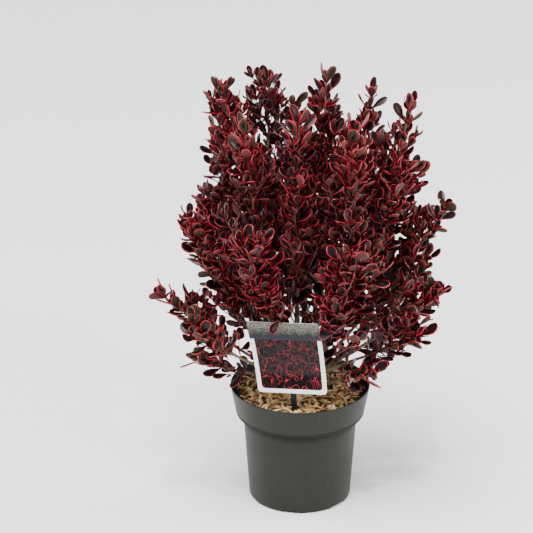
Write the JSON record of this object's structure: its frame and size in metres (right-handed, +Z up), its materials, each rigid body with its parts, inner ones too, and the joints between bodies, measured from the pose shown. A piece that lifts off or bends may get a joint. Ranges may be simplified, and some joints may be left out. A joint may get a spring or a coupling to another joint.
{
  "type": "potted coprosma shrub",
  "caption": "Bushy upright coprosma shrub with dark, crimson-edged leaves on thin shoots, in a round nursery pot with husk mulch and a plain plant label on a stick.",
  "frame": {"origin": "centre of the pot's flat underside", "axes": "+Z up along the pot's axis, -Y the side that the label faces, +X to the right as seen from there"},
  "size_m": [0.3022, 0.2662, 0.4536],
  "materials": {
    "pot": "satin",
    "medium": "rough",
    "mulch": "rough",
    "card": "gloss",
    "stick": "matte",
    "bark": "rough",
    "foliage": "gloss"
  },
  "bodies": {
    "root": {"pot": "pot", "growing_medium": "medium", "husk_mulch": "mulch", "label_card": "card", "label_stick": "stick", "stem_right": "bark", "stem_back": "bark", "stem_left_back": "bark", "stem_left_front": "bark", "stem_right_front": "bark", "bough_right_back_skirt": "bark", "bough_right_skirt": "bark", "bough_right_shoulder": "bark", "bough_right_back_shoulder": "bark", "bough_right_crown": "bark", "bough_right_back_crown": "bark", "bough_back_right_skirt": "bark", "bough_back_left_skirt": "bark", "bough_back_shoulder": "bark", "bough_back_crown": "bark", "bough_middle_right_crown": "bark", "bough_left_skirt": "bark", "bough_left_shoulder": "bark", "bough_left_back_shoulder": "bark", "bough_left_crown": "bark", "bough_middle_left_crown": "bark", "bough_left_front_skirt": "bark", "bough_front_left_skirt": "bark", "bough_front_left_shoulder": "bark", "bough_front_left_crown": "bark", "bough_front_crown": "bark", "bough_front_right_skirt": "bark", "bough_right_front_skirt": "bark", "bough_front_right_shoulder": "bark", "bough_front_right_crown": "bark", "foliage_right_back_skirt": "foliage", "foliage_right_skirt": "foliage", "foliage_right_shoulder": "foliage", "foliage_right_back_shoulder": "foliage", "foliage_right_crown": "foliage", "foliage_right_back_crown": "foliage", "foliage_back_right_skirt": "foliage", "foliage_back_left_skirt": "foliage", "foliage_back_shoulder": "foliage", "foliage_back_crown": "foliage", "foliage_middle_right_crown": "foliage", "foliage_left_skirt": "foliage", "foliage_left_shoulder": "foliage", "foliage_left_back_shoulder": "foliage", "foliage_left_crown": "foliage", "foliage_middle_left_crown": "foliage", "foliage_left_front_skirt": "foliage", "foliage_front_left_skirt": "foliage", "foliage_front_left_shoulder": "foliage", "foliage_front_left_crown": "foliage", "foliage_front_crown": "foliage", "foliage_front_right_skirt": "foliage", "foliage_right_front_skirt": "foliage", "foliage_front_right_shoulder": "foliage", "foliage_front_right_crown": "foliage"}
  },
  "joints": []
}
